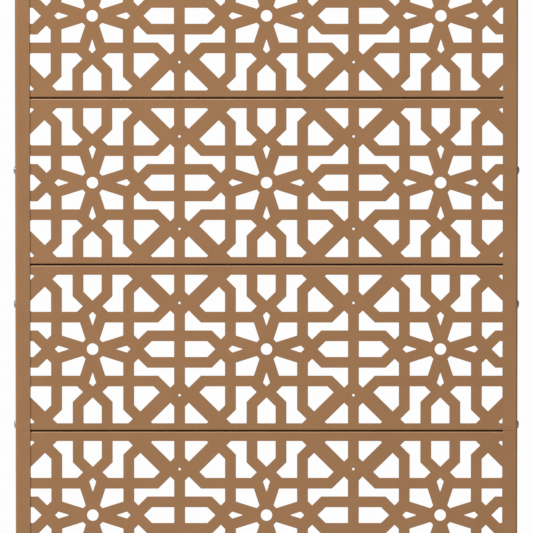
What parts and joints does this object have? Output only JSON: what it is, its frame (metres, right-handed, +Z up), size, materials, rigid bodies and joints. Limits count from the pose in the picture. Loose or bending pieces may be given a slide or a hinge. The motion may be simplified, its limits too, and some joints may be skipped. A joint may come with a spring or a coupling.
{
  "type": "mashrabiya screen",
  "caption": "Sheet-metal lattice screen in a Moorish star pattern: folded panels stacked between two channel posts, bolted through the sides.",
  "frame": {"origin": "middle of the underside, on the lower return of the bottom panel", "axes": "+X to the right seen from the front, the front faces -Y, +Z up"},
  "size_m": [0.8962, 0.026, 1.1813],
  "materials": {
    "powder_coat": "fine matt powder coat, light brown",
    "bolt_steel": "bare zinc-plated steel"
  },
  "bodies": {
    "root": {"panel_1_top": "powder_coat", "panel_2": "powder_coat", "panel_3": "powder_coat", "panel_4_bottom": "powder_coat", "post_left_lower": "powder_coat", "post_left_upper": "powder_coat", "post_right_lower": "powder_coat", "post_right_upper": "powder_coat", "bolt_left_1": "bolt_steel", "bolt_left_2": "bolt_steel", "bolt_left_3": "bolt_steel", "bolt_right_1": "bolt_steel", "bolt_right_2": "bolt_steel", "bolt_right_3": "bolt_steel"}
  },
  "joints": []
}
